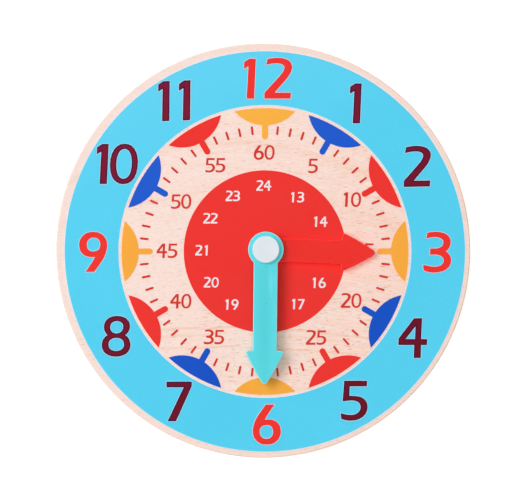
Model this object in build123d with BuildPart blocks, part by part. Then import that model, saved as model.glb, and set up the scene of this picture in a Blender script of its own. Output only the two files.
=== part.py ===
from build123d import *

import math
import os

# Round wooden teaching clock: a printed five-ply board and two plastic hands that turn by
# hand, each by itself, on a snap pivot. Millimetres. The clock lies on its back, with the
# origin at the centre of the board's back face, +Z out of the dial, +Y to twelve o'clock
# and +X to three o'clock.

os.makedirs("parts", exist_ok=True)

# Board: five glued plies cut to one disc, with both rims broken by a small chamfer.
board_diameter = 150.0
veneer_thickness = 0.8
cross_ply_thickness = 1.1
middle_ply_thickness = 1.2
board_edge_chamfer = 0.4

# Dial print, laid down a little off the board's centre, as the clock is made.
print_offset_x = 0.65
print_offset_y = -0.35
ink_thickness = 0.1
hour_ring_outer_diameter = 144.8
hour_ring_width = 19.4
day_disc_diameter = 58.7

# Hour marks: lens-shaped segments inside the hour ring, each with a round-ended stem.
mark_gap = 1.15
mark_half_angle = 12.2
mark_depth = 6.25
mark_stem_width = 2.2
mark_stem_length = 5.0

# Minute ticks between the stems.
tick_length = 3.0
tick_width = 0.62
tick_setback = 0.2

# Snap pivot: a split, barbed pin that clips into a flanged socket let into the back.
pivot_offset_x = 1.0
pivot_offset_y = 0.4
shank_diameter = 4.1
barb_overhang = 0.4
barb_height = 1.6
barb_tip_inset = 0.25
leg_length = 5.0
leg_slot_width = 0.9
cap_diameter = 9.8
cap_thickness = 1.5
cap_edge_chamfer = 0.3
tube_wall = 0.65
latch_depth = 2.0
flange_diameter = 13.0
flange_thickness = 1.2
flange_edge_chamfer = 0.3
flange_setback = 0.2

# Washers, one under each hand.
washer_diameter = 11.0
washer_thickness = 0.3

# Hands: one moulding form in two lengths.
hand_thickness = 2.0
hub_diameter = 12.8
shaft_width = 8.65
head_width = 14.4
head_length = 13.0
flank_bulge = 0.3
point_round = 1.15
barb_corner_round = 0.9
inner_corner_round = 0.45
hand_edge_chamfer = 0.3

# The hour hand's point stops just short of the stems, and the minute hand's lies over the
# hour marks, both measured to the sharp point before it is rounded.
hour_point_gap = 0.3
minute_point_overlap = 3.9

# Where the hands point, in degrees past twelve.
hour_hand_angle = 91.9
minute_hand_angle = 180.65

# Clearances.
board_clearance = 0.1
recess_clearance = 0.2
shank_clearance = 0.1
latch_clearance = 0.1
washer_clearance = 0.1
hand_clearance = 0.05
hand_play = 0.05

# Plies from the back to the front.
plies = [
    ("back_veneer", veneer_thickness),
    ("rear_cross_ply", cross_ply_thickness),
    ("middle_ply", middle_ply_thickness),
    ("front_cross_ply", cross_ply_thickness),
    ("front_veneer", veneer_thickness),
]

# Pivot radii, from the pin outwards.
shank_radius = shank_diameter / 2
barb_radius = shank_radius + barb_overhang
socket_bore_radius = shank_radius + shank_clearance
latch_radius = barb_radius + latch_clearance
tube_radius = latch_radius + tube_wall
board_bore_radius = tube_radius + board_clearance
washer_bore_radius = tube_radius + washer_clearance
hand_bore_radius = tube_radius + hand_clearance
flange_radius = flange_diameter / 2
recess_radius = flange_radius + recess_clearance

# Heights above the board's back face.
recess_depth = flange_setback + flange_thickness
latch_shoulder = flange_setback + latch_depth
barb_shoulder = latch_shoulder - latch_clearance
pin_end = barb_shoulder - barb_height
board_top = sum(thickness for _, thickness in plies)
dial_top = board_top + ink_thickness
hour_hand_bottom = dial_top + washer_thickness + hand_play
hour_hand_top = hour_hand_bottom + hand_thickness
middle_washer_bottom = hour_hand_top + hand_play
minute_hand_bottom = middle_washer_bottom + washer_thickness + hand_play
minute_hand_top = minute_hand_bottom + hand_thickness
tube_top = minute_hand_top + hand_play

# Dial radii.
board_radius = board_diameter / 2
hour_ring_outer_radius = hour_ring_outer_diameter / 2
hour_ring_inner_radius = hour_ring_outer_radius - hour_ring_width
mark_outer_radius = hour_ring_inner_radius - mark_gap
mark_belly_radius = mark_outer_radius - mark_depth
mark_stem_end_radius = mark_belly_radius - mark_stem_length
tick_outer_radius = mark_belly_radius - tick_setback
hour_barb_distance = mark_stem_end_radius - hour_point_gap - head_length
minute_barb_distance = mark_belly_radius + minute_point_overlap - head_length

print_centre = (print_offset_x, print_offset_y)
pivot_centre = (pivot_offset_x, pivot_offset_y)
pivot_axis = Axis((pivot_offset_x, pivot_offset_y, 0), (0, 0, 1))
pivot_section = Plane(origin=(pivot_offset_x, pivot_offset_y, 0), x_dir=(1, 0, 0), z_dir=(0, -1, 0))


def clock_plane(centre, height, clock_angle=0.0):
    """Plane that faces out of the dial, with its own +Y at clock_angle degrees past twelve."""
    turn = math.radians(clock_angle)
    across = (math.cos(turn), -math.sin(turn), 0)
    return Plane(origin=(centre[0], centre[1], height), x_dir=across, z_dir=(0, 0, 1))


def make_ply(name, bottom, thickness):
    """One ply of the board, bored for the pivot tube and recessed for its flange."""
    with BuildPart() as ply:
        with BuildSketch(Plane.XY.offset(bottom)):
            Circle(board_radius)
            with Locations(pivot_centre):
                Circle(board_bore_radius, mode=Mode.SUBTRACT)
        extrude(amount=thickness)
        if bottom < recess_depth:
            with BuildSketch(Plane.XY.offset(bottom)):
                with Locations(pivot_centre):
                    Circle(recess_radius)
            extrude(amount=min(thickness, recess_depth - bottom), mode=Mode.SUBTRACT)
        rims = ply.edges().filter_by(GeomType.CIRCLE).group_by(SortBy.RADIUS)[-1].sort_by(Axis.Z)
        if name == "back_veneer":
            chamfer(rims[0], board_edge_chamfer)
        if name == "front_veneer":
            chamfer(rims[-1], board_edge_chamfer)
    ply.part.label = name
    export_step(ply.part, f"parts/{name}.step")


def make_hour_mark(hour):
    """The printed segment at one hour, with the stem that marks its five minutes."""
    edge_x = mark_outer_radius * math.sin(math.radians(mark_half_angle))
    edge_y = mark_outer_radius * math.cos(math.radians(mark_half_angle))
    stem_round = mark_stem_width / 2
    stem_bottom = mark_stem_end_radius + stem_round
    with BuildPart() as mark:
        with BuildSketch(clock_plane(print_centre, board_top, 30 * hour)):
            with BuildLine():
                ThreePointArc((-edge_x, edge_y), (0, mark_outer_radius), (edge_x, edge_y))
                ThreePointArc((edge_x, edge_y), (0, mark_belly_radius), (-edge_x, edge_y))
            make_face()
            with Locations((0, stem_bottom)):
                Circle(stem_round)
                Rectangle(mark_stem_width, edge_y - stem_bottom, align=(Align.CENTER, Align.MIN))
        extrude(amount=ink_thickness)
    mark.part.label = f"hour_mark_{hour:02d}"
    export_step(mark.part, f"parts/hour_mark_{hour:02d}.step")


def make_washer(name, bottom):
    """A flat washer on the pivot tube."""
    with BuildPart() as washer:
        with BuildSketch(clock_plane(pivot_centre, bottom)):
            Circle(washer_diameter / 2)
            Circle(washer_bore_radius, mode=Mode.SUBTRACT)
        extrude(amount=washer_thickness)
    washer.part.label = name
    export_step(washer.part, f"parts/{name}.step")


def make_hand(name, bottom, barb_distance, clock_angle):
    """An arrow hand with a round hub, its corners rounded and its upper edge chamfered."""
    with BuildPart() as hand:
        with BuildSketch(clock_plane(pivot_centre, bottom, clock_angle)) as outline:
            with BuildLine():
                Polyline(
                    (0, 0),
                    (shaft_width / 2, 0),
                    (shaft_width / 2, barb_distance),
                    (head_width / 2, barb_distance),
                )
                SagittaArc(
                    (head_width / 2, barb_distance),
                    (0, barb_distance + head_length),
                    -flank_bulge,
                )
                mirror(about=Plane.YZ)
            make_face()
            Circle(hub_diameter / 2)
            hub_corners = outline.vertices().filter_by_position(Axis.Y, shaft_width / 4, hub_diameter / 2)
            fillet(hub_corners, inner_corner_round)
            barb_line = outline.vertices().group_by(Axis.Y)[-2].sort_by(Axis.X)
            fillet(barb_line[1:-1], inner_corner_round)
            barb_line = outline.vertices().group_by(Axis.Y)[-2].sort_by(Axis.X)
            fillet([barb_line[0], barb_line[-1]], barb_corner_round)
            fillet(outline.vertices().group_by(Axis.Y)[-1], point_round)
            Circle(hand_bore_radius, mode=Mode.SUBTRACT)
        extrude(amount=hand_thickness)
        chamfer(hand.faces().sort_by(Axis.Z)[-1].outer_wire().edges(), hand_edge_chamfer)
    hand.part.label = name
    export_step(hand.part, f"parts/{name}.step")


# Board, ply by ply.
ply_bottom = 0.0
for ply_name, ply_thickness in plies:
    make_ply(ply_name, ply_bottom, ply_thickness)
    ply_bottom += ply_thickness

# Blue ring that carries the hour numerals.
with BuildPart() as hour_ring:
    with BuildSketch(clock_plane(print_centre, board_top)):
        Circle(hour_ring_outer_radius)
        Circle(hour_ring_inner_radius, mode=Mode.SUBTRACT)
    extrude(amount=ink_thickness)
hour_ring.part.label = "hour_ring"
export_step(hour_ring.part, "parts/hour_ring.step")

# Red disc that carries the 24-hour numerals, open at the pivot.
with BuildPart() as day_disc:
    with BuildSketch(clock_plane(print_centre, board_top)):
        Circle(day_disc_diameter / 2)
    extrude(amount=ink_thickness)
    with BuildSketch(clock_plane(pivot_centre, board_top)):
        Circle(board_bore_radius)
    extrude(amount=ink_thickness, mode=Mode.SUBTRACT)
day_disc.part.label = "day_disc"
export_step(day_disc.part, "parts/day_disc.step")

for hour in range(1, 13):
    make_hour_mark(hour)

# Four ticks in each gap between two stems, printed as one set.
with BuildPart() as minute_ticks:
    with BuildSketch(clock_plane(print_centre, board_top)):
        for minute in range(60):
            if minute % 5:
                with PolarLocations(tick_outer_radius - tick_length / 2, 1, start_angle=6 * minute):
                    Rectangle(tick_length, tick_width)
    extrude(amount=ink_thickness)
minute_ticks.part.label = "minute_ticks"
export_step(minute_ticks.part, "parts/minute_ticks.step")

# Flanged socket: its tube passes through the board and both hands. A wider chamber at its
# back end gives the shoulder that the pin's barbs catch on.
with BuildPart() as pivot_socket:
    with BuildSketch(pivot_section):
        with BuildLine():
            Polyline(
                (latch_radius, flange_setback),
                (flange_radius, flange_setback),
                (flange_radius, recess_depth),
                (tube_radius, recess_depth),
                (tube_radius, tube_top),
                (socket_bore_radius, tube_top),
                (socket_bore_radius, latch_shoulder),
                (latch_radius, latch_shoulder),
                close=True,
            )
        make_face()
    revolve(axis=pivot_axis)
    flange_rim = pivot_socket.edges().filter_by(GeomType.CIRCLE).group_by(SortBy.RADIUS)[-1]
    chamfer(flange_rim.sort_by(Axis.Z)[0], flange_edge_chamfer)
pivot_socket.part.label = "pivot_socket"
export_step(pivot_socket.part, "parts/pivot_socket.step")

# Cap and pin in one moulding: the cap seats on the tube's end, and the shank is split into
# four springy legs, each with a barb.
with BuildPart() as pivot_pin:
    with BuildSketch(pivot_section):
        with BuildLine():
            Polyline(
                (0, pin_end),
                (barb_radius - barb_tip_inset - barb_overhang, pin_end),
                (barb_radius, barb_shoulder),
                (shank_radius, barb_shoulder),
                (shank_radius, tube_top),
                (cap_diameter / 2, tube_top),
                (cap_diameter / 2, tube_top + cap_thickness),
                (0, tube_top + cap_thickness),
                close=True,
            )
        make_face()
    revolve(axis=pivot_axis)
    chamfer(pivot_pin.edges().sort_by(Axis.Z)[-1], cap_edge_chamfer)
    with BuildSketch(clock_plane(pivot_centre, pin_end)):
        with PolarLocations(0, 2):
            Rectangle(2 * barb_radius, leg_slot_width)
    extrude(amount=leg_length, mode=Mode.SUBTRACT)
pivot_pin.part.label = "pivot_pin"
export_step(pivot_pin.part, "parts/pivot_pin.step")

make_washer("dial_washer", dial_top)
make_washer("middle_washer", middle_washer_bottom)
make_hand("hour_hand", hour_hand_bottom, hour_barb_distance, hour_hand_angle)
make_hand("minute_hand", minute_hand_bottom, minute_barb_distance, minute_hand_angle)
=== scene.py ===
# %% [markdown]
# # A wooden teaching clock, dressed for the camera
# The clock is a printed beech plywood board with two arrow hands on a snap pivot. Its solids come from CAD as a fixed
# frame, so nothing here changes a size. What Blender adds is what makes the thing look real: wood with its flecks,
# printed ink with a little tooth, moulded plastic with soft edges, and the numerals.

# %% Load the frame
import math

import bmesh
import bpy
from mathutils import Matrix, Vector


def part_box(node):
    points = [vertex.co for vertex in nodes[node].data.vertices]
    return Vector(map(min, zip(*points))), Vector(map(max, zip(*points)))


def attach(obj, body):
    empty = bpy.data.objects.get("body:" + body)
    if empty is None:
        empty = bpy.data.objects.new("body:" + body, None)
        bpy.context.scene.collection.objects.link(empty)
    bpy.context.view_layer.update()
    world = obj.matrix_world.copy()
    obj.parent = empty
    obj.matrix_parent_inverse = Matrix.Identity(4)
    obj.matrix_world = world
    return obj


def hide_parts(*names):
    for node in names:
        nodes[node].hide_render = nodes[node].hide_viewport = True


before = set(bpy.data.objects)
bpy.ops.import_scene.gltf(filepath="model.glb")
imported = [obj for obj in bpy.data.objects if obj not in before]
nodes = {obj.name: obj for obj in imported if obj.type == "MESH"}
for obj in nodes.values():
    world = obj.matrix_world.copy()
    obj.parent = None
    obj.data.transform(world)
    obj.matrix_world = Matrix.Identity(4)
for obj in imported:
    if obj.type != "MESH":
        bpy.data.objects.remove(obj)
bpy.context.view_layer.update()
print("CAD nodes:", len(nodes))

# %% [markdown]
# ## Heights and centres
# The board lies on its back, and everything that is printed or fitted stacks up from its face. All sizes are kept in
# millimetres and turned to metres in one place. The print isn't quite in the middle of the board, and the pivot's hole
# isn't quite in the middle of the print.

# %% Heights and centres
MM = 0.001
board_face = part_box("front_veneer")[1].z
ink_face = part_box("hour_ring")[1].z
dial_centre = Vector((0.65 * MM, -0.35 * MM))
ink_film = 0.05 * MM
print("board face at", round(board_face / MM, 3), "mm, ink face at", round(ink_face / MM, 3), "mm")

# %% [markdown]
# ## Camera
# The clock is seen from straight above, with no visible perspective, so the lens is long and far away. The width of
# the view at the dial sets the focal length: lens = sensor width x distance / view width.

# %% Camera
view_width = 186.66 * MM
view_centre = Vector((-1.83 * MM, 1.98 * MM))
camera_distance = 1.2


def add_object(name, data):
    """A new object in the scene."""
    obj = bpy.data.objects.new(name, data)
    bpy.context.scene.collection.objects.link(obj)
    return obj


camera_data = bpy.data.cameras.new("camera")
camera_data.sensor_width = 36
camera_data.lens = camera_data.sensor_width * camera_distance / view_width
camera = add_object("camera", camera_data)
camera.location = (view_centre.x, view_centre.y, board_face + camera_distance)
bpy.context.scene.camera = camera
bpy.context.scene.view_settings.view_transform = "Standard"
print("lens", round(camera_data.lens, 1), "mm")

# %% [markdown]
# ## Helpers for materials
# Colours are written as the sRGB hex values that a painter would pick, and one function turns them to the linear
# values that Blender computes with. A second one adds a shader node and links it, so that a material reads as a list
# of its layers. Materials start from the object's own coordinates in millimetres, so that a pattern's size is written
# as it would be measured, and most end in a Principled shader with a little relief.

# %% Colour and node helpers
def linear(hexcode):
    """sRGB hex to linear RGBA."""
    channels = [int(hexcode[i:i + 2], 16) / 255 for i in (0, 2, 4)]
    return [c / 12.92 if c <= 0.04045 else ((c + 0.055) / 1.055) ** 2.4 for c in channels] + [1]


def add_node(tree, kind, inputs=None, **settings):
    """Adds a shader node. Inputs are given by socket identifier, as a value or as the socket to link from."""
    node = tree.nodes.new("ShaderNode" + kind)
    for name, value in settings.items():
        setattr(node, name, value)
    sockets = {s.identifier: s for s in node.inputs}
    for name, value in (inputs or {}).items():
        if isinstance(value, bpy.types.NodeSocket):
            tree.links.new(value, sockets[name])
        else:
            sockets[name].default_value = value
    return node


def start_material(name):
    """A new material, its node tree, and in it the object's own coordinates in millimetres."""
    material = bpy.data.materials.new(name)
    material.use_nodes = True
    tree = material.node_tree
    tree.nodes.clear()
    place = add_node(tree, "TexCoord")
    in_mm = add_node(tree, "Mapping", {"Vector": place.outputs["Object"], "Scale": (1 / MM, 1 / MM, 1 / MM)})
    return material, tree, in_mm.outputs["Vector"]


def finish_material(tree, colour, height, relief_mm, **surface):
    """Ends a material in a Principled shader. Colour and height are sockets; the rest is set on the shader."""
    bump = add_node(tree, "Bump", {"Height": height, "Strength": 1.0, "Distance": relief_mm * MM})
    shader = add_node(tree, "BsdfPrincipled", {"Base Color": colour, "Normal": bump.outputs["Normal"], **surface})
    add_node(tree, "OutputMaterial", {"Surface": shader.outputs["BSDF"]})


def dress(obj, material):
    """Gives an object its first material."""
    if obj.data.materials:
        obj.data.materials[0] = material
    else:
        obj.data.materials.append(material)

# %% [markdown]
# ## Light
# A softbox stands to the upper left of the dial and makes the shadows. A second one hangs straight above and lights
# the whole face evenly, so a shadow is soft and never black. It would glare in every flat surface, and a studio puts a
# polarising filter on such a lamp: here its visibility to glossy rays is switched off. The first lamp is a touch cool,
# and the second and the room are a touch warm, so together they are white and only the shadows are warmer. The shares
# of the three add up to about one, so a white sheet is lit to white and each colour renders about as it is written.

# %% Softboxes
cool, warm = "F4F7FF", "FFFBF3"
lamp_side = Vector((-0.8, 0.36, 1.0))
side_share = 0.54
top_share = 0.29


def hang_softbox(name, towards, distance, across, along, share, tint):
    """A softbox that lights a flat white sheet at the origin to this share of 1. Along is its size away from us."""
    direction = Vector(towards).normalized()
    data = bpy.data.lights.new(name, "AREA")
    data.shape = "RECTANGLE"
    data.size = across
    data.size_y = along
    data.color = linear(tint)[:3]
    data.energy = share * math.pi ** 2 * distance ** 2 / direction.z
    lamp = add_object(name, data)
    lamp.location = direction * distance
    lamp.rotation_euler = direction.to_track_quat("Z", "Y").to_euler()
    print(name, "gives", round(data.energy, 1), "W")
    return lamp


hang_softbox("side softbox", lamp_side, distance=2.8, across=2.36, along=1.43, share=side_share, tint=cool)
top_softbox = hang_softbox("top softbox", (0.0, 0.0, 1.0), distance=2.0, across=0.9, along=0.9, share=top_share,
                           tint=warm)
top_softbox.visible_glossy = False

# %% [markdown]
# ## Room
# Pale walls give the rest of the light. They are brightest low down, next to the lit table, which brightens the
# board's rim and the hands' sides. Below the table the light is even, for whoever looks at the back. The camera,
# gloss and glass see plain white instead: a strength of 1 is white.

# %% Room
room_share = 0.20
skirting_light = 2.0
skirting_top = 0.35
under_share = 0.95

room = bpy.data.worlds.new("pale room")
room.use_nodes = True
tree = room.node_tree
tree.nodes.clear()
ray = add_node(tree, "LightPath")
seen = ray.outputs["Is Camera Ray"]
for kind in ("Is Glossy Ray", "Is Transmission Ray"):
    either = add_node(tree, "Math", {"Value": seen, "Value_001": ray.outputs[kind]}, operation="MAXIMUM")
    seen = either.outputs["Value"]
way = add_node(tree, "TexCoord")
way = add_node(tree, "SeparateXYZ", {"Vector": way.outputs["Generated"]})
level = add_node(tree, "MapRange", {
    "Value": way.outputs["Z"], "From Max": skirting_top, "To Min": room_share + skirting_light,
    "To Max": room_share}, interpolation_type="SMOOTHSTEP")
under = add_node(tree, "Math", {"Value": way.outputs["Z"], "Value_001": 0.0}, operation="LESS_THAN")
level = add_node(tree, "MapRange", {
    "Value": under.outputs["Value"], "To Min": level.outputs["Result"], "To Max": under_share})
walls = add_node(tree, "Background", {"Color": linear(warm), "Strength": level.outputs["Result"]})
white = add_node(tree, "Background", {"Color": linear("FFFFFF"), "Strength": 1.0})
shown = add_node(tree, "MixShader", {
    "Fac": seen, "Shader": walls.outputs["Background"], "Shader_001": white.outputs["Background"]})
add_node(tree, "OutputWorld", {"Surface": shown.outputs["Shader"]})
bpy.context.scene.world = room
print("shares of light:", round(side_share + top_share + room_share, 2))

# %% [markdown]
# ## Floor
# A white table top, open where the clock stands on it, so that the back of the clock can be lit and looked at. A ring
# like this is quickly made from its inner circle: the edges are extruded, and the new points are scaled outwards.

# %% Floor
floor_radius = 4.0
opening_radius = 75.1 * MM
circle_steps = 180

bm = bmesh.new()
bmesh.ops.create_circle(bm, cap_ends=False, segments=circle_steps, radius=opening_radius)
pulled = bmesh.ops.extrude_edge_only(bm, edges=bm.edges[:])["geom"]
outer = [v for v in pulled if isinstance(v, bmesh.types.BMVert)]
outwards = floor_radius / opening_radius
bmesh.ops.scale(bm, verts=outer, vec=(outwards, outwards, 1))
bm.normal_update()
bmesh.ops.reverse_faces(bm, faces=[f for f in bm.faces if f.normal.z < 0])
floor_mesh = bpy.data.meshes.new("floor")
bm.to_mesh(floor_mesh)
bm.free()
floor = add_object("floor", floor_mesh)
print("floor:", len(floor_mesh.polygons), "faces round an opening of", round(2 * opening_radius / MM, 1), "mm")

# %% [markdown]
# ## Table top
# White laminate is matt and not quite white. Seen by the camera it also glows a little, so that it meets the white
# room without a line, yet it is still dimmer where the clock shades it. From underneath it is clear.

# %% Table top
table_glow = 0.62

white_table, tree, _ = start_material("white laminate table")
ray = add_node(tree, "LightPath")
matt = add_node(tree, "BsdfDiffuse", {"Color": linear("E8E8E8")})
glow = add_node(tree, "Emission", {"Color": linear("FFFFFF"), "Strength": table_glow})
both = add_node(tree, "AddShader", {"Shader": matt.outputs["BSDF"], "Shader_001": glow.outputs["Emission"]})
table = add_node(tree, "MixShader", {
    "Fac": ray.outputs["Is Camera Ray"], "Shader": matt.outputs["BSDF"], "Shader_001": both.outputs["Shader"]})
side = add_node(tree, "NewGeometry")
clear = add_node(tree, "BsdfTransparent")
table = add_node(tree, "MixShader", {
    "Fac": side.outputs["Backfacing"], "Shader": table.outputs["Shader"], "Shader_001": clear.outputs["BSDF"]})
add_node(tree, "OutputMaterial", {"Surface": table.outputs["Shader"]})
dress(floor, white_table)
print("table top:", white_table.name)

# %% [markdown]
# ## Beech
# Steamed beech is pale and a little pink. It was sliced into veneer, sanded and given one thin coat of matt varnish, so
# it shows four things: one side of the sheet is warmer, the growth rings leave streaks and here and there a tan line,
# the fibres are pale and dark dashes, and its mark is the fleck. Each gets a function that adds its layer, because the
# inner plies are the same wood in other colours. The first thing to settle is how the grain lies. The log's rings lean,
# so the figure shifts sideways with the depth below the face, and the board's edge shows it too. Most of what follows
# the grain is long and thin, like a noise that is squeezed more across the grain than along it.

# %% How the grain lies
ring_lean = 2.0  # mm sideways for each mm of depth


def lay_grain(tree, part, turn):
    """Y as it leans with the depth, and the place along the grain, which is turned by this many degrees from X."""
    lean = add_node(tree, "Math", {
        "Value": part.outputs["Z"], "Value_001": ring_lean, "Value_002": part.outputs["Y"]}, operation="MULTIPLY_ADD")
    lean = add_node(tree, "Math", {
        "Value": lean.outputs["Value"], "Value_001": ring_lean * board_face / MM}, operation="SUBTRACT")
    across = lean.outputs["Value"]
    leaning = add_node(tree, "CombineXYZ", {"X": part.outputs["X"], "Y": across, "Z": part.outputs["Z"]})
    turned = add_node(tree, "Mapping", {"Vector": leaning.outputs["Vector"], "Rotation": (0, 0, math.radians(-turn))})
    return across, turned.outputs["Vector"]


def threads(tree, along, length, width, detail=2.0):
    """A noise whose spots are drawn out along the grain, to a length and width in mm."""
    squeezed = add_node(tree, "Mapping", {"Vector": along, "Scale": (1 / length, 1 / width, 1 / width)})
    return add_node(tree, "TexNoise", {
        "Vector": squeezed.outputs["Vector"], "Scale": 1.0, "Detail": detail}).outputs["Fac"]

# %% [markdown]
# ## Growth rings
# A flat cut through a log shows its rings as nested arcs. Here each arc has its top 13 mm left of the middle and falls
# away with the square of the distance, the upper arcs faster. This layer gives the height of that top, which tells one
# arc from the next. A slow noise lets the arcs stray by a few millimetres.

# %% Growth rings
ring_top = -13.0
ring_bow, ring_bow_growth = 0.003, 0.00005
ring_stray, stray_length = 3.0, 18


def ring_heights(tree, place, part, across):
    """The height in mm of the top of the arc that each point lies on."""
    bow = add_node(tree, "Math", {
        "Value": across, "Value_001": ring_bow_growth, "Value_002": ring_bow}, operation="MULTIPLY_ADD")
    beside = add_node(tree, "Math", {"Value": part.outputs["X"], "Value_001": ring_top}, operation="SUBTRACT")
    squared = add_node(tree, "Math", {"Value": beside.outputs["Value"], "Value_001": 2.0}, operation="POWER")
    stray = add_node(tree, "TexNoise", {"Vector": place, "Scale": 1 / stray_length, "Detail": 2.0})
    strayed = add_node(tree, "Math", {
        "Value": stray.outputs["Fac"], "Value_001": ring_stray, "Value_002": across}, operation="MULTIPLY_ADD")
    ring = add_node(tree, "Math", {
        "Value": squared.outputs["Value"], "Value_001": bow.outputs["Value"],
        "Value_002": strayed.outputs["Value"]}, operation="MULTIPLY_ADD")
    return ring.outputs["Value"]

# %% [markdown]
# ## Fibres
# Sanded fibres show as dashes about 1.3 mm long and a quarter of a millimetre thick, among strands 10 mm long. Where
# the two together run high, the ground colour turns to the shade.

# %% Fibres
dash_length, dash_width = 1.3, 0.24
strand_length, strand_width, strand_share = 10, 0.4, 0.4


def fibres(tree, along, pale, shade):
    """The wood's ground colour, and the noise of its dashes."""
    dashes = threads(tree, along, dash_length, dash_width, detail=1.0)
    strands = threads(tree, along, strand_length, strand_width, detail=1.0)
    grain = add_node(tree, "Math", {
        "Value": strands, "Value_001": strand_share, "Value_002": dashes}, operation="MULTIPLY_ADD")
    mask = add_node(tree, "MapRange", {"Value": grain.outputs["Value"], "From Min": 0.5, "From Max": 0.9})
    colour = add_node(tree, "MixRGB", {"Fac": mask.outputs["Result"], "Color1": linear(pale), "Color2": linear(shade)})
    return colour.outputs["Color"], dashes

# %% [markdown]
# ## The warm side
# Towards the right, and a little downwards, the sheet is warmer, as nearer the heart of a log. The warmth lies in
# streaks that follow the rings, 14 mm long and 1 mm thick, and is a tint that the ground colour is multiplied by.

# %% Warm side
streak_length, streak_width = 14, 1.0
warm_way = (1.0, -0.35, 0.0)
warm_from, warm_to = -48.0, 45.0
least_warm, most_warm = 0.03, 0.58


def warm_side(tree, place, ring_place, colour, tint):
    """Adds the warm tint, in streaks that grow stronger along warm_way."""
    streaks = threads(tree, ring_place, streak_length, streak_width)
    streaks = add_node(tree, "MapRange", {
        "Value": streaks, "From Min": 0.35, "From Max": 0.68, "To Min": 0.25, "To Max": 1.6})
    side = add_node(tree, "VectorMath", {"Vector": place, "Vector_001": warm_way}, operation="DOT_PRODUCT")
    side = add_node(tree, "MapRange", {
        "Value": side.outputs["Value"], "From Min": warm_from, "From Max": warm_to, "To Min": least_warm,
        "To Max": most_warm})
    warmth = add_node(tree, "Math", {
        "Value": side.outputs["Result"], "Value_001": streaks.outputs["Result"]}, operation="MULTIPLY", use_clamp=True)
    warmed = add_node(tree, "MixRGB", {
        "Fac": warmth.outputs["Value"], "Color1": colour, "Color2": linear(tint)}, blend_type="MULTIPLY")
    return warmed.outputs["Color"]

# %% [markdown]
# ## Ring lines
# Faint lines about 1.5 mm apart and 40 mm long follow the rings, and a few arcs show more. An arc is drawn where a
# point's ring height is near the arc's own. All are made of dashes 6 mm long, stronger here and weaker there.

# %% Ring lines
line_length, line_gap, line_strength = 40, 1.5, 0.35
line_dash_length, line_dash_width = 6, 0.6


def ring_lines(tree, along, ring, ring_place, arcs, colour, tint):
    """Adds the lines. Arcs are those that show most: height of the top and half the thickness in mm, strength."""
    lines = threads(tree, ring_place, line_length, line_gap)
    lines = add_node(tree, "MapRange", {
        "Value": lines, "From Min": 0.5, "From Max": 0.8, "To Max": line_strength})
    mask = lines.outputs["Result"]
    for height, half, strength in arcs:
        # the stray noise is 0.5 on average
        away = add_node(tree, "Math", {"Value": ring, "Value_001": height + ring_stray / 2}, operation="SUBTRACT")
        away = add_node(tree, "Math", {"Value": away.outputs["Value"]}, operation="ABSOLUTE")
        peak = add_node(tree, "MapRange", {
            "Value": away.outputs["Value"], "From Max": 2 * half, "To Min": strength, "To Max": 0.0},
                        interpolation_type="SMOOTHSTEP")
        mask = add_node(tree, "Math", {"Value": mask, "Value_001": peak.outputs["Result"]}, operation="MAXIMUM")
        mask = mask.outputs["Value"]
    broken = threads(tree, along, line_dash_length, line_dash_width)
    broken = add_node(tree, "MapRange", {
        "Value": broken, "From Min": 0.35, "From Max": 0.65, "To Min": 0.15, "To Max": 1.2})
    mask = add_node(tree, "Math", {"Value": mask, "Value_001": broken.outputs["Result"]}, operation="MULTIPLY")
    lined = add_node(tree, "MixRGB", {
        "Fac": mask.outputs["Value"], "Color1": colour, "Color2": linear(tint)}, blend_type="MULTIPLY")
    return lined.outputs["Color"]

# %% [markdown]
# ## The sanded rim
# The rim was sanded round, so the edge and the outermost millimetres of the face are paler, with faint flecks.

# %% Sanded rim
rim_from, rim_to = 72.0, 73.5
rim_share = 0.5


def sanded_rim(tree, place, colour, rim):
    """Adds the rim's colour, and gives the share of the flecks that is kept."""
    flat_place = add_node(tree, "VectorMath", {"Vector": place, "Vector_001": (1.0, 1.0, 0.0)}, operation="MULTIPLY")
    out = add_node(tree, "VectorMath", {"Vector": flat_place.outputs["Vector"]}, operation="LENGTH")
    sanded = add_node(tree, "MapRange", {
        "Value": out.outputs["Value"], "From Min": rim_from, "From Max": rim_to, "To Max": rim_share})
    paler = add_node(tree, "MixRGB", {"Fac": sanded.outputs["Result"], "Color1": colour, "Color2": linear(rim)})
    kept = add_node(tree, "Math", {"Value": 1.0, "Value_001": sanded.outputs["Result"]}, operation="SUBTRACT")
    return paler.outputs["Color"], kept.outputs["Value"]

# %% [markdown]
# ## Flecks
# Each of the wood's rays shows as a tan spindle, 1 to 3 mm long. A Voronoi texture has one point for each cell, so with
# cells stretched along the grain, the distance to that point draws one spindle for each cell, and the cell's random
# colour decides how long and dark it is, or that it doesn't show. Two layers of cells keep the flecks from lining up.
# They are stronger towards the lower right.

# %% Flecks
fleck_layers = [((6.6, 1.25), 1.0), ((4.6, 0.95), 0.95)]  # length and width of the cells in mm, strength
shortest_fleck, longest_fleck = 0.14, 0.27  # half a fleck, as a share of its cell
fleck_slope = -0.8
strong_from, faint_from = -50.0, 30.0
strong_flecks, faint_flecks = 0.74, 0.4


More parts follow.
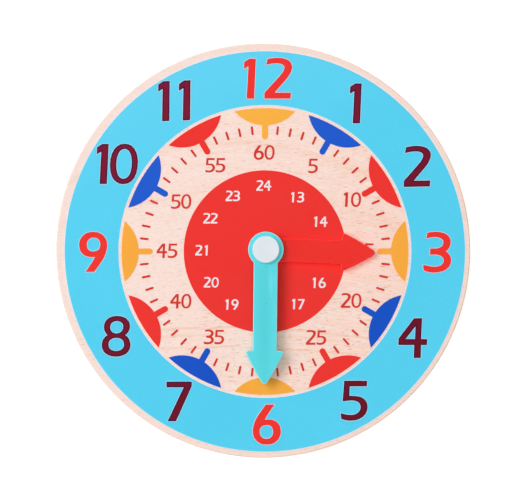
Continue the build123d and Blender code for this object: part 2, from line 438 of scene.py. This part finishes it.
def fleck_mask(tree, part, along, kept):
    """How much of the flecks' colour shows."""
    flecks = None
    for (length, width), strength in fleck_layers:
        cells = add_node(tree, "Mapping", {
            "Vector": along, "Location": (width, length, 0), "Scale": (1 / length, 1 / width, 1)})
        spots = add_node(tree, "TexVoronoi", {"Vector": cells.outputs["Vector"], "Scale": 1.0}, voronoi_dimensions="2D")
        chance = add_node(tree, "SeparateColor", {"Color": spots.outputs["Color"]})
        reach = add_node(tree, "MapRange", {
            "Value": chance.outputs["Red"], "To Min": shortest_fleck, "To Max": longest_fleck})
        spindle = add_node(tree, "MapRange", {
            "Value": spots.outputs["Distance"], "From Max": reach.outputs["Result"], "To Min": strength,
            "To Max": 0.0}, interpolation_type="SMOOTHSTEP")
        dark = add_node(tree, "Math", {"Value": chance.outputs["Green"], "Value_001": 2.0}, operation="POWER")
        layer = add_node(tree, "Math", {
            "Value": spindle.outputs["Result"], "Value_001": dark.outputs["Value"]}, operation="MULTIPLY")
        if flecks is not None:
            layer = add_node(tree, "Math", {"Value": flecks, "Value_001": layer.outputs["Value"]}, operation="MAXIMUM")
        flecks = layer.outputs["Value"]
    low_down = add_node(tree, "Math", {
        "Value": part.outputs["X"], "Value_001": fleck_slope, "Value_002": part.outputs["Y"]}, operation="MULTIPLY_ADD")
    low_down = add_node(tree, "MapRange", {
        "Value": low_down.outputs["Value"], "From Min": strong_from, "From Max": faint_from, "To Min": strong_flecks,
        "To Max": faint_flecks})
    for share in (low_down.outputs["Result"], kept):
        shared = add_node(tree, "Math", {"Value": flecks, "Value_001": share}, operation="MULTIPLY")
        flecks = shared.outputs["Value"]
    return flecks

# %% [markdown]
# ## The plies
# The layers go on top of each other. A fleck is a shallow groove, and the fibres leave a fine tooth, so both go into
# the relief too. Thin matt varnish has little gloss. The face veneers and the middle ply have their grain along X. The
# two plies between cross it, and end grain is darker.

# %% Beech
wood_relief = 0.02
grain_turn = 5


def beech(name, pale, shade, warm_tint, line_tint, fleck, rim, turn=grain_turn, arcs=()):
    """Beech with its grain turned by this many degrees from X. The two tints are multiplied with the wood."""
    material, tree, place = start_material(name)
    part = add_node(tree, "SeparateXYZ", {"Vector": place})
    across, along = lay_grain(tree, part, turn)
    ring = ring_heights(tree, place, part, across)
    ring_place = add_node(tree, "CombineXYZ", {"X": part.outputs["X"], "Y": ring}).outputs["Vector"]
    colour, dashes = fibres(tree, along, pale, shade)
    colour = warm_side(tree, place, ring_place, colour, warm_tint)
    colour = ring_lines(tree, along, ring, ring_place, arcs, colour, line_tint)
    colour, kept = sanded_rim(tree, place, colour, rim)
    flecks = fleck_mask(tree, part, along, kept)
    colour = add_node(tree, "MixRGB", {"Fac": flecks, "Color1": colour, "Color2": linear(fleck)})
    height = add_node(tree, "Math", {"Value": flecks, "Value_001": -1.0, "Value_002": dashes}, operation="MULTIPLY_ADD")
    finish_material(tree, colour.outputs["Color"], height.outputs["Value"], wood_relief,
                    **{"Roughness": 0.5, "IOR": 1.45, "Specular IOR Level": 0.15})
    return material


face_arcs = [(39.0, 1.4, 0.65), (21.5, 2.5, 0.4), (-28.0, 0.45, 1.0), (-30.5, 0.35, 0.7), (-35.2, 0.4, 1.0)]
veneer = beech("sanded beech veneer", "FFECE5", "FADDD1", warm_tint="FFEEE3", line_tint="FBEADC", fleck="BE7B48",
               rim="F5E0D7", arcs=face_arcs)
along_ply = beech("beech core ply, cut along the grain", "EBCFB6", "D9B596", warm_tint="FEF2ED", line_tint="F3DFCF",
                  fleck="A87854", rim="E3C4A9")
across_ply = beech("beech core ply, cut across the grain", "DDBE9D", "C8A37E", warm_tint="FEF2ED",
                   line_tint="EFD9C6", fleck="8F6442", rim="D3B28F", turn=grain_turn + 90)
plies = {"front_veneer": veneer, "front_cross_ply": across_ply, "middle_ply": along_ply,
         "rear_cross_ply": across_ply, "back_veneer": veneer}
for name, wood in plies.items():
    dress(nodes[name], wood)
print("beech on", list(plies))

# %% [markdown]
# ## Screen-printed ink
# Each colour is pushed through a mesh and dries as a satin film a few hundredths of a millimetre thick. It never lies
# quite even: the mesh and the squeegee leave a mottle of about 0.7 mm, under a slow change over 25 mm. Towards the
# upper left, on the side of the lamp, some colours are painted paler, as a painted sheen. The wood's fibres show
# through as fine lines in the surface.

# %% Screen ink
mottle_size, slow_size, mottle_share = 0.7, 25, 0.4
fibre_length, fibre_width = 9, 0.4
# the way in which the painted sheen grows paler: towards the top and a little to the left
sheen_way = (-0.34, 0.94, 0.0)
ink_relief = 0.012


def screen_ink(name, main, thin, sheen_colour=None, fades=(25.0, 72.0)):
    """A printed colour: main where the film is full, thin where it is thinner. Towards the top, a little to the left,
    it
    can be painted paler, to a third colour: a painted sheen on the lamp's side, from and to the given distances from
    the middle in mm."""
    material, tree, place = start_material(name)
    mottle = add_node(tree, "TexNoise", {"Vector": place, "Scale": 1 / mottle_size, "Detail": 2.0})
    slow = add_node(tree, "TexNoise", {"Vector": place, "Scale": 1 / slow_size, "Detail": 1.0})
    film = add_node(tree, "Math", {
        "Value": mottle.outputs["Fac"], "Value_001": slow.outputs["Fac"]}, operation="MULTIPLY")
    share = add_node(tree, "MapRange", {"Value": film.outputs["Value"], "From Min": 0.1, "From Max": 0.45})
    colour = add_node(tree, "MixRGB", {"Fac": share.outputs["Result"], "Color1": linear(main), "Color2": linear(thin)})
    # painted sheen: the colour grows paler towards the lamp's side
    if sheen_colour:
        towards_sheen = add_node(tree, "VectorMath", {"Vector": place, "Vector_001": sheen_way}, operation="DOT_PRODUCT")
        share = add_node(tree, "MapRange", {
            "Value": towards_sheen.outputs["Value"], "From Min": fades[0], "From Max": fades[1]})
        colour = add_node(tree, "MixRGB", {
            "Fac": share.outputs["Result"], "Color1": colour.outputs["Color"], "Color2": linear(sheen_colour)})
    along = add_node(tree, "Mapping", {"Vector": place, "Rotation": (0, 0, math.radians(-grain_turn))})
    below = threads(tree, along.outputs["Vector"], fibre_length, fibre_width)
    height = add_node(tree, "Math", {
        "Value": mottle.outputs["Fac"], "Value_001": mottle_share, "Value_002": below}, operation="MULTIPLY_ADD")
    finish_material(tree, colour.outputs["Color"], height.outputs["Value"], ink_relief,
                    **{"Roughness": 0.5, "IOR": 1.5, "Specular IOR Level": 0.12})
    return material

# %% [markdown]
# ## The inks of this dial
# Each ink has the colour that it dries to. The third colour of some is a painted sheen, paler towards the lamp. The
# hour marks take yellow, royal blue and red in turn.

# %% Inks
# the last colours of sky blue, yellow, royal blue and maroon are a painted sheen, paler towards the lamp
sky_blue = screen_ink("sky blue screen ink", "54D1F3", "5AD5F6", sheen_colour="63D6F7")
red_ink = screen_ink("red screen ink", "EF322D", "F03732")
yellow_ink = screen_ink("yellow screen ink", "FAAA3A", "FBAE44", sheen_colour="FCB746", fades=(25.0, 55.0))
royal_blue = screen_ink("royal blue screen ink", "0C4EC2", "1252C6", sheen_colour="1F5BD0", fades=(-45.0, 45.0))
brick_ink = screen_ink("brick red screen ink", "D4352C", "D83A30")
maroon_ink = screen_ink("maroon screen ink", "67051B", "6B071D", sheen_colour="7A0F2F", fades=(-60.0, 62.0))
navy_ink = screen_ink("maroon screen ink, dense over blue", "320E3A", "38103E")
white_ink = screen_ink("white screen ink", "F0E4E8", "F6ECEF")

in_turn = (yellow_ink, royal_blue, red_ink)
printed = {"hour_ring": sky_blue, "day_disc": red_ink}
for hour in range(1, 13):
    printed[f"hour_mark_{hour:02d}"] = in_turn[hour % 3]
for name, ink in printed.items():
    dress(nodes[name], ink)
print("printed nodes:", len(printed))

# %% [markdown]
# ## A piece of the clock
# What is made here and not in CAD is built as a bmesh and becomes an object. It is then told which body it moves with,
# and given its material.

# %% New pieces
def new_piece(name, bm, material, body="board"):
    """Turns a bmesh's faces outwards and makes it an object of this body, with its finish."""
    bmesh.ops.recalc_face_normals(bm, faces=bm.faces)
    mesh = bpy.data.meshes.new(name)
    bm.to_mesh(mesh)
    bm.free()
    piece = add_object(name, mesh)
    dress(piece, material)
    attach(piece, body)
    return piece

# %% [markdown]
# ## The white base under the ring
# Before a bright ring goes on bare wood, a white base is printed, and it peeks out as a thin line at both edges of the
# ring. Each line is a flat section, spun round the middle of the print. A full turn merges its ends.

# %% White base
base_film = 0.03 * MM
base_top = board_face + base_film
base_lines = [(52.62 * MM, 53.1 * MM), (72.3 * MM, 72.7 * MM)]

bm = bmesh.new()
for inner, outer in base_lines:
    corners = [(inner, board_face), (outer, board_face), (outer, base_top), (inner, base_top)]
    section = [bm.verts.new((dial_centre.x + r, dial_centre.y, z)) for r, z in corners]
    edges = [bm.edges.new((section[i], section[(i + 1) % 4])) for i in range(4)]
    bmesh.ops.spin(bm, geom=section + edges, cent=(*dial_centre, 0), axis=(0, 0, 1), angle=math.radians(360),
                   steps=circle_steps, use_merge=True)
base = new_piece("white_base_lines", bm, white_ink)
print("white base:", len(base.data.polygons), "faces")

# %% [markdown]
# ## Minute ticks
# The printed ticks have round ends, so each one is a circle pulled apart into two half circles. The face is then
# pulled up by the thickness of the film. The twelve places under the hour marks stay empty.

# %% Minute ticks
tick_width = 0.8 * MM
tick_inner = 42.3 * MM
tick_outer = 45.5 * MM
tick_sides = 16
minutes_to_a_mark = 5
degrees_to_a_minute = 6

bm = bmesh.new()
half_step = Matrix.Rotation(math.radians(180 / tick_sides), 4, "Z")
middle = (tick_inner + tick_outer) / 2
pull = (tick_outer - tick_inner - tick_width) / 2
to_dial = Matrix.Translation((dial_centre.x, dial_centre.y, board_face))
for minute in range(60):
    if minute % minutes_to_a_mark == 0:
        continue
    ends = bmesh.ops.create_circle(bm, cap_ends=True, segments=tick_sides, radius=tick_width / 2,
                                   matrix=half_step)["verts"]
    for v in ends:
        v.co.y += middle + (pull if v.co.y > 0 else -pull)
    upper = bmesh.ops.extrude_face_region(bm, geom=[ends[0].link_faces[0]])["geom"]
    lifted = [v for v in upper if isinstance(v, bmesh.types.BMVert)]
    bmesh.ops.translate(bm, verts=lifted, vec=(0, 0, ink_face - board_face))
    turn = Matrix.Rotation(math.radians(-degrees_to_a_minute * minute), 4, "Z")
    bmesh.ops.transform(bm, matrix=to_dial @ turn, verts=ends + lifted)
ticks = new_piece("minute_ticks_print", bm, brick_ink)
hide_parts("minute_ticks")
print("ticks:", len(ticks.data.polygons), "faces")

# %% [markdown]
# ## Numerals
# The digits are a sturdy upright sans: straight diagonals, flat cut ends, and a 9 that is a 6 turned round. Each
# outline is drawn once, 40 units tall, as a short list. A pair is a point on the line. A triple is a corner that the
# line bends round on its way from one point to the next, with its fullness: 0.55 is a circle's curve, and more is
# squarer. All three sets of numerals use these outlines, thinned or fattened by the curve's own offset.

# %% Digit outlines
digit_height = 40.0
DIGITS = {
    "0": [
        [(0.5, 18.0), (0.5, 40.3, 0.62), (15.4, 40.3), (28.6, 40.3, 0.62), (28.6, 22.0), (28.6, -0.3, 0.62),
         (13.9, -0.3), (0.5, -0.3, 0.62)],
        [(7.0, 18.5), (7.0, 34.9, 0.62), (15.4, 34.9), (22.3, 34.9, 0.62), (22.3, 21.5), (22.3, 5.3, 0.62),
         (13.8, 5.3), (7.0, 5.3, 0.62)],
    ],
    "1": [[(2.6, 0), (4.3, 32.2), (-0.2, 29.5), (0.1, 36.7), (5.4, 40), (11.8, 40), (10.0, 0)]],
    "2": [[
        (0, 0), (0.2, 6.0), (15.4, 22.6), (20.1, 27.7, 0.6), (20.1, 31.2), (20.1, 35.2, 0.6), (12.5, 35.2),
        (7, 35.2, 0.6), (1.9, 33.7), (3.3, 39.7), (8, 40.9, 0.6), (14, 40.9), (27.9, 40.9, 0.6), (27.9, 31.8),
        (27.9, 26.0, 0.6), (22.0, 19.3), (10.4, 6.1), (26.7, 6.1), (26.2, 0)]],
    "3": [[
        (3.2, 33.8), (8, 35.2, 0.6), (12, 35.2), (20.2, 35.2, 0.6), (20.2, 30.2), (20.2, 24.0, 0.6), (12, 24.0),
        (7.2, 24.0), (6.7, 17.6), (11, 17.8), (20.5, 17.8, 0.6), (20.5, 12), (20.5, 5.8, 0.6), (11.5, 5.8),
        (6, 5.8, 0.6), (-0.1, 7.9), (0.4, 2.0), (5, -0.3, 0.6), (11, -0.3), (28.0, -0.3, 0.6), (28.0, 12),
        (28.0, 18.3, 0.6), (22.6, 21.1), (27.6, 24.0, 0.6), (27.6, 31.0), (27.6, 40.7, 0.6), (13, 40.7),
        (8, 40.7, 0.6), (4.2, 39.6)]],
    "4": [
        [(15.3, 0), (15.8, 12.9), (0, 12.9), (0.1, 19.4), (15.8, 39.8), (23.8, 39.8), (22.9, 19.0), (28.9, 19.0),
         (28.8, 12.9), (22.8, 12.9), (22.5, 0)],
        [(7.4, 19.0), (16.6, 19.0), (17.1, 31.4)],
    ],
    "5": [[
        (3.6, 39.7), (26.5, 39.7), (26.1, 34.0), (9.2, 34.0), (8.8, 24.6), (14, 24.6), (27.0, 24.6, 0.6),
        (27.0, 13.8), (27.0, -0.3, 0.6), (10, -0.3), (5, -0.3, 0.6), (0.6, 1.5), (0, 7.6), (5, 5.6, 0.6),
        (10, 5.6), (19.9, 5.6, 0.6), (19.9, 13.5), (19.9, 19.9, 0.6), (11.5, 19.9), (7, 19.9, 0.6), (1.9, 19.0)]],
    "6": [
        [(13.0, 39.8), (21.9, 39.8), (15.0, 29.8), (12.2, 24.9), (16.5, 25.0), (28.2, 25.0, 0.6),
         (28.2, 13.0), (28.2, -0.4, 0.6), (14, -0.4), (0.0, -0.4, 0.6), (0.0, 13.0), (0.0, 21.0, 0.6), (5.2, 28.8)],
        [(7.0, 12.5), (7.0, 19.2, 0.7), (15, 19.2), (20.4, 19.2, 0.6), (20.4, 12.5), (20.4, 5.6, 0.6), (13.7, 5.6),
         (7.0, 5.6, 0.6)],
    ],
    "7": [[(1.2, 0), (17.3, 33.8), (0.2, 33.8), (0.2, 39.7), (25.6, 39.7), (25.5, 35.0), (9.8, 0)]],
    "8": [
        [(2.1, 29.3), (2.1, 40.5, 0.6), (15.3, 40.5), (28.3, 40.5, 0.6), (28.3, 30.0), (28.3, 24.5, 0.6),
         (23.6, 21.1), (28.8, 18.5, 0.6), (28.8, 11.2), (28.8, -0.4, 0.6), (14, -0.4), (-0.1, -0.4, 0.6), (-0.1, 11),
         (-0.1, 18.5, 0.6), (5.7, 21.2), (2.1, 24, 0.6)],
        [(8.5, 29.0), (8.5, 35.1, 0.6), (15.3, 35.1), (21.4, 35.1, 0.6), (21.4, 29.8), (21.4, 23.0, 0.6),
         (14.6, 23.0), (8.5, 23.0, 0.6)],
        [(6.8, 11.7), (6.8, 18.4, 0.6), (14.5, 18.4), (22.2, 18.4, 0.6), (22.2, 12), (22.2, 5.4, 0.6), (14.2, 5.4),
         (6.8, 5.4, 0.6)],
    ],
}
nine_right, nine_top = 28.5, digit_height + 0.3
DIGITS["9"] = [[(nine_right - p[0], nine_top - p[1], *p[2:]) for p in loop] for loop in DIGITS["6"]]
print("digits:", " ".join(sorted(DIGITS)))

# %% [markdown]
# ## Drawing an outline
# A flat Bezier curve fills its outlines by itself and leaves the counters open, so it suits lettering. Each curved
# stretch gets its two handles on the lines to its corner, which makes it leave one point and reach the next in the
# right directions. A straight stretch has its handles at its thirds.

# %% Drawing an outline
straight = 2 / 3  # of the way to the middle of a stretch, which is a third of the stretch


def draw_outline(curve, outline, shift):
    """Adds one closed outline to a curve, moved along X."""
    on_line = [i for i, p in enumerate(outline) if len(p) == 2]
    spline = curve.splines.new("BEZIER")
    spline.bezier_points.add(len(on_line) - 1)
    spline.use_cyclic_u = True
    for n, i in enumerate(on_line):
        start = Vector(outline[i])
        following = outline[(i + 1) % len(outline)]
        end = Vector(outline[on_line[(n + 1) % len(on_line)]])
        if len(following) == 3:
            corner, fullness = Vector(following[:2]), following[2]
        else:
            corner, fullness = (start + end) / 2, straight
        here, there = spline.bezier_points[n], spline.bezier_points[(n + 1) % len(on_line)]
        here.handle_left_type = here.handle_right_type = "FREE"
        here.co = (start.x + shift, start.y, 0)
        leave, arrive = start.lerp(corner, fullness), end.lerp(corner, fullness)
        here.handle_right = (leave.x + shift, leave.y, 0)
        there.handle_left = (arrive.x + shift, arrive.y, 0)

# %% [markdown]
# ## Setting a number
# The digits of a number are drawn side by side in one curve, one unit thick. It becomes a mesh, which goes to its size
# and its place. There its doubles are merged, which closes the film.

# %% Setting a number
merge_distance = 1e-7


def set_number(bm, text, height, centre, bottom, film, gap, weight=0.0, turn=0.0):
    """Sets a number into a bmesh, its middle at centre in mm from the dial's and its film from bottom up. Gap is what
    is between its digits and weight how much fatter they get, both in the units of the outlines."""
    curve = bpy.data.curves.new("number " + text, "CURVE")
    curve.dimensions = "2D"
    curve.fill_mode = "BOTH"
    curve.resolution_u = 6
    half_thick = curve.extrude = 0.5
    curve.offset = weight
    pen = 0.0
    for digit in text:
        across = [p[0] for outline in DIGITS[digit] for p in outline]
        for outline in DIGITS[digit]:
            draw_outline(curve, outline, pen - min(across))
        pen += max(across) - min(across) + gap
    width = pen - gap
    holder = bpy.data.objects.new(curve.name, curve)
    mesh = bpy.data.meshes.new_from_object(holder)
    before = set(bm.verts)
    bm.from_mesh(mesh)
    fresh = [v for v in bm.verts if v not in before]
    scale = height / digit_height
    to_middle = Matrix.Translation((-width / 2, -digit_height / 2, half_thick))
    size = Matrix.Diagonal((scale, scale, film, 1))
    spin = Matrix.Rotation(math.radians(turn), 4, "Z")
    to_place = Matrix.Translation((dial_centre.x + centre[0] * MM, dial_centre.y + centre[1] * MM, bottom))
    bmesh.ops.transform(bm, matrix=to_place @ spin @ size @ to_middle, verts=fresh)
    bmesh.ops.remove_doubles(bm, verts=fresh, dist=merge_distance)
    bpy.data.objects.remove(holder)
    bpy.data.curves.remove(curve)
    bpy.data.meshes.remove(mesh)

# %% [markdown]
# ## The hours
# The twelve hours are 14.5 mm tall, the quarters red and the rest maroon. A printer puts a white line round a dark
# colour on a bright one, so that a small slip of the screen doesn't show: here it is one more film under the numerals,
# a little wider. At its edge the maroon dries denser, and over blue that looks like navy: a third film, as wide as the
# numeral is drawn, while the maroon itself stops a little inside it.

# %% Hour numerals
hour_height = 14.5 * MM
keyline_growth, keyline_film = 0.3, ink_film / 2
dense_edge, dense_film = 1.3, 0.75 * ink_film

# each number's middle in mm from the dial's, the gap between its digits in outline units, its turn in degrees
HOURS = {
    "12": (1.15, 62.5, 8.35, 0), "1": (32.9, 53.55, 0, 0), "2": (55.1, 30.65, 0, 1.1),
    "3": (62.3, -0.35, 0, 0), "4": (53.5, -31.3, 0, 0), "5": (32.3, -53.9, 0, 0),
    "6": (0.7, -62.55, 0, 0), "7": (-31.0, -54.2, 0, 0), "8": (-53.8, -30.7, 0, 0),
    "9": (-62.1, -0.35, 0, 0), "10": (-53.35, 31.65, 1.1, 0), "11": (-32.55, 54.5, 8.7, 2),
}

keylines = bmesh.new()
edges = bmesh.new()
for text, (x, y, gap, turn) in HOURS.items():
    bm = bmesh.new()
    quarter = int(text) % 3 == 0
    set_number(bm, text, hour_height, (x, y), ink_face, ink_film, gap, 0.0 if quarter else -dense_edge, turn)
    new_piece(f"hour_numeral_{int(text):02d}", bm, red_ink if quarter else maroon_ink)
    if not quarter:
        set_number(edges, text, hour_height, (x, y), ink_face, dense_film, gap, turn=turn)
    set_number(keylines, text, hour_height, (x, y), ink_face, keyline_film, gap, keyline_growth, turn)
new_piece("hour_numeral_keylines", keylines, white_ink)
new_piece("hour_numeral_dense_edges", edges, navy_ink)
print("hour numerals:", len(HOURS))

# %% [markdown]
# ## The minutes and the second round of hours
# The minutes are a lighter red set on the bare wood, 5.3 mm tall and a little thinner than drawn, and the hours after
# noon are small and white on the red disc. All are there, also those that a hand hides at the moment.

# %% Minute and afternoon numerals
minute_height = 5.3 * MM
minute_weight = -0.15
afternoon_height = 3.7 * MM

# each number's middle in mm from the dial's, the gap between its digits in outline units
MINUTES = {
    "5": (17.4, 30.95, 0), "10": (31.7, 18.75, 7.3), "15": (36.35, 0.35, 7.3),
    "20": (31.2, -17.8, 1.1), "25": (18.5, -31.15, 1.1), "30": (-0.3, -36.0, 1.1),
    "35": (-18.45, -30.95, 1.1), "40": (-30.4, -18.0, 1.1), "45": (-35.4, 0.25, 1.1),
    "50": (-30.3, 18.05, 1.1), "55": (-17.95, 31.2, 1.1), "60": (-0.25, 35.8, 1.1),
}
AFTERNOON = {
    "13": (11.9, 19.6, 10.5), "14": (20.25, 10.75, 10.5), "15": (23.5, -0.2, 10.5),
    "16": (19.7, -11.35, 10.5), "17": (12.15, -19.05, 11.5), "18": (0.0, -23.4, 10.5),
    "19": (-11.85, -19.2, 10.5), "20": (-19.4, -11.2, 3.0), "21": (-22.9, 0.4, 10.0),
    "22": (-19.7, 11.95, 1.0), "23": (-11.6, 20.05, 1.0), "24": (-0.4, 23.8, 2.5),
}


def set_round(prefix, numbers, height, bottom, weight, ink):
    """Sets a whole round of numbers, each a piece of its own."""
    for text, (x, y, gap) in numbers.items():
        bm = bmesh.new()
        set_number(bm, text, height, (x, y), bottom, ink_film, gap, weight)
        new_piece(f"{prefix}_{int(text):02d}", bm, ink)
    print(prefix + " pieces:", len(numbers))


set_round("minute_numeral", MINUTES, minute_height, board_face, minute_weight, brick_ink)
set_round("afternoon_numeral", AFTERNOON, afternoon_height, ink_face, 0.0, white_ink)

# %% [markdown]
# ## Moulded plastic
# The hands and the pivot are injection-moulded in a glossy, slightly milky plastic. Light gets a little way into it.
# The light that would leave it at the edges, the sides and the underside of a hand is a painted glow from emission:
# it makes a painted highlight along the edges and lights the wood beside them.

# %% Moulded plastic
drift_size = 9
mould_tooth, mould_relief = 0.15, 0.002


def moulded(name, main, pale, roughness=0.35, depth_mm=0.0, spread=(1.0, 1.0, 1.0), marks=(), lit="FFFFFF",
            lit_strength=0.0):
    """Moulded plastic that drifts from main to pale. Depth_mm is how far light gets into it, and spread that depth's
    share for red, green and blue. Lit is the colour of a painted glow. Marks are patches, such as specks or a painted
    reflection: colour, centre and half size of a patch in mm, how sharp its edge is from 0 to 1, strength."""
    material, tree, place = start_material(name)
    drift = add_node(tree, "TexNoise", {"Vector": place, "Scale": 1 / drift_size, "Detail": 1.0})
    share = add_node(tree, "MapRange", {"Value": drift.outputs["Fac"], "From Min": 0.3, "From Max": 0.7})
    colour = add_node(tree, "MixRGB", {"Fac": share.outputs["Result"], "Color1": linear(main), "Color2": linear(pale)})
    for tint, (x, y), (half_x, half_y), sharp, strength in marks:
        patch = add_node(tree, "Mapping", {
            "Vector": place, "Location": (-x / half_x, -y / half_y, 0), "Scale": (1 / half_x, 1 / half_y, 0)})
        away = add_node(tree, "VectorMath", {"Vector": patch.outputs["Vector"]}, operation="LENGTH")
        inside = add_node(tree, "MapRange", {
            "Value": away.outputs["Value"], "From Min": sharp, "To Min": strength, "To Max": 0.0},
                          interpolation_type="SMOOTHSTEP")
        colour = add_node(tree, "MixRGB", {
            "Fac": inside.outputs["Result"], "Color1": colour.outputs["Color"], "Color2": linear(tint)})
    tooth = add_node(tree, "TexNoise", {"Vector": place, "Scale": 1 / mould_tooth, "Detail": 1.0})
    finish_material(tree, colour.outputs["Color"], tooth.outputs["Fac"], mould_relief,
                    **{"Roughness": roughness, "IOR": 1.5, "Specular IOR Level": 0.25,
                       "Emission Color": linear(lit), "Emission Strength": lit_strength,
                       "Subsurface Weight": 1.0 if depth_mm else 0.0, "Subsurface Radius": spread,
                       "Subsurface Scale": max(depth_mm, 0.1) * MM})
    return material

# %% [markdown]
# ## The plastics of this clock
# The turquoise is a little duller along the middle of the shaft and has three specks from the melt. A bright streak
# down the shaft is a painted reflection. Red light gets deep into the red plastic, and its coming out is a painted
# glow: faint at the flank towards the lamp, strongest at the flank turned away from the lamp, and in between on the
# underside. The flank towards the lamp is also painted darker, a painted shade, so that it throws back less light. An
# edge has a duller colour of its own and a glow, which together are a painted highlight. The cap's flanks are painted
# darker too, a painted shade. The washers are natural nylon, off-white and less glossy.

# %% Plastics
marks_and_reflection = [
    ("53D2DD", (0.5, -26.0), (3.8, 42.0), 0.0, 1.0),
    # painted reflection: a bright streak down the shaft
    ("76E8F1", (2.7, -11.7), (1.1, 7.2), 0.2, 0.42),
    ("2E8F9A", (1.14, -5.76), (0.22, 0.22), 0.3, 0.8),
    ("B8F6FA", (4.14, -9.95), (0.2, 0.3), 0.3, 0.8),
    ("2B7F8C", (1.3, -19.1), (0.2, 0.3), 0.3, 0.9),
]
milky_red = {"depth_mm": 0.6, "spread": (1.0, 0.15, 0.1)}
turquoise = moulded("turquoise moulded plastic", "57D9E3", "5CDDE8", marks=marks_and_reflection)
# painted highlight: a duller colour with a pale glow along the turquoise hand's edges
turquoise_edge = moulded("turquoise moulded plastic, edge with painted highlight", "6BA3AA", "70A8AF", lit="A6F8FF",
                         lit_strength=0.38)
red_plastic = moulded("red moulded plastic", "F3291F", "F42D23", **milky_red)
# painted highlight: a faint glow along the red hand's edges
red_edge = moulded("red moulded plastic, edge with painted highlight", "F62F24", "F83328", lit="FF3018", lit_strength=0.06,
                   **milky_red)
# painted shade and glow: the flank towards the lamp is darker, so it throws back less light, and glows faintly
red_side = moulded("red moulded plastic, flank", "B5251C", "B9291F", lit="FF2410", lit_strength=0.15)
# painted glow: the flank turned away from the lamp lights the wood beside it in red
red_far_side = moulded("red moulded plastic, flank away from the lamp", "F62F24", "F83328", lit="FF2410",
                       lit_strength=0.55)
# painted glow from the underside onto what lies below the hand
red_underside = moulded("red moulded plastic, underside", "F62F24", "F83328", lit="FF2410", lit_strength=0.28)
white_plastic = moulded("white moulded plastic", "DFE8EF", "E5ECF2")
# painted highlight: a duller colour with a pale glow round the cap's edge
white_edge = moulded("white moulded plastic, edge with painted highlight", "8E979D", "939CA2", lit="D4FFFF", lit_strength=0.45)
# painted shade: the cap's flanks are darker, so they throw less light on the hub
white_side = moulded("white moulded plastic, flank", "B4C8D0", "BACDD5")
nylon = moulded("natural nylon", "E8E6DE", "ECEAE2", roughness=0.5)

for name, plastic in {"pivot_socket": white_plastic, "dial_washer": nylon, "middle_washer": nylon}.items():
    dress(nodes[name], plastic)
print("marks and painted reflection on turquoise:", len(marks_and_reflection))

# %% [markdown]
# ## Which face gets which plastic
# A face's normal tells what it is: an upright flank, a level top or underside, or the slope of the edge between them.
# The flanks turned away from the lamp can have a finish of their own, with a stronger painted glow. Next to the hub,
# the painted glow from those and from the underside would ring the parts below with red, so their finishes can start
# beyond it.

# %% Faces by their slope
EDGE, FLANK, FAR_FLANK, UNDERSIDE = 1, 2, 3, 4
upright, level, downwards = 0.2, 0.98, -0.9
turned_away = -0.3


def share_out_faces(bm, lowest, with_flanks, flanks_from):
    """Gives the faces above a height their place in the list of materials, and returns the sloping ones."""
    bm.normal_update()
    sloping = [f for f in bm.faces if upright < f.normal.z < level and f.calc_center_median().z > lowest]
    for face in sloping:
        face.material_index = EDGE
    for face in bm.faces if with_flanks else ():
        middle = face.calc_center_median()
        reached = not flanks_from or middle.x > flanks_from
        if middle.z > lowest and abs(face.normal.z) < upright:
            # flanks turned away from the lamp at rest take the stronger painted glow
            away = face.normal.xy.dot(lamp_side.xy) < turned_away
            face.material_index = FAR_FLANK if away and reached else FLANK
        elif middle.z > lowest and face.normal.z < downwards and reached:
            face.material_index = UNDERSIDE
    return set(sloping)

# %% [markdown]
# ## Hands and cap with soft edges
# A moulded edge is never sharp. The CAD hands and cap have a plain chamfer, so a copy of each is merged into one skin,
# and the two lines of its chamfer are bevelled again, which leaves a nearly round edge, in the edge's plastic with its
# painted highlight. The red hand's skin is also cut beside the hub, where the finish of its flanks changes. The level
# faces stay flat, and the rest is smooth.

# %% Soft edges
edge_round = 0.1 * MM
crease = math.radians(30)
nearly_flat = math.radians(0.5)
truly_level = 0.999


def soften(name, body, material, edge_material, flanks=(), lowest=0.0, flanks_from=None):
    """Replaces a CAD node by a copy with round edges above a height. Flanks holds three finishes: for the flanks, for
    those turned away from the lamp and for the underside. The last two can start flanks_from right of the middle."""
    bm = bmesh.new()
    bm.from_mesh(nodes[name].data)
    bmesh.ops.remove_doubles(bm, verts=bm.verts, dist=merge_distance)
    bmesh.ops.dissolve_limit(bm, angle_limit=nearly_flat, verts=bm.verts, edges=bm.edges)
    if flanks_from:
        everything = bm.verts[:] + bm.edges[:] + bm.faces[:]
        bmesh.ops.bisect_plane(bm, geom=everything, dist=merge_distance, plane_co=(flanks_from, 0, 0),
                               plane_no=(1, 0, 0))
    sloping = share_out_faces(bm, lowest, bool(flanks), flanks_from)
    edges = [e for e in bm.edges if e.calc_face_angle(0) > crease and not sloping.isdisjoint(e.link_faces)]
    bmesh.ops.bevel(bm, geom=edges, offset=edge_round, segments=2, profile=0.5, affect="EDGES", material=-1)
    bmesh.ops.recalc_face_normals(bm, faces=bm.faces)
    for face in bm.faces:
        face.smooth = True
    for edge in bm.edges:
        beside_level = any(abs(f.normal.z) > truly_level for f in edge.link_faces)
        edge.smooth = edge.calc_face_angle(0) < crease and not beside_level
    piece = new_piece(name + "_soft", bm, material, body)
    for finish in (edge_material, *flanks):
        piece.data.materials.append(finish)
    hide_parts(name)
    print(piece.name, len(piece.data.polygons), "faces")


cap_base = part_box("minute_hand")[1].z
hub_to = 9 * MM
soften("hour_hand", "hour_hand", red_plastic, red_edge,
       flanks=(red_side, red_far_side, red_underside), flanks_from=hub_to)
soften("minute_hand", "minute_hand", turquoise, turquoise_edge)
soften("pivot_pin", "board", white_plastic, white_edge, flanks=(white_side,) * 3, lowest=cap_base)
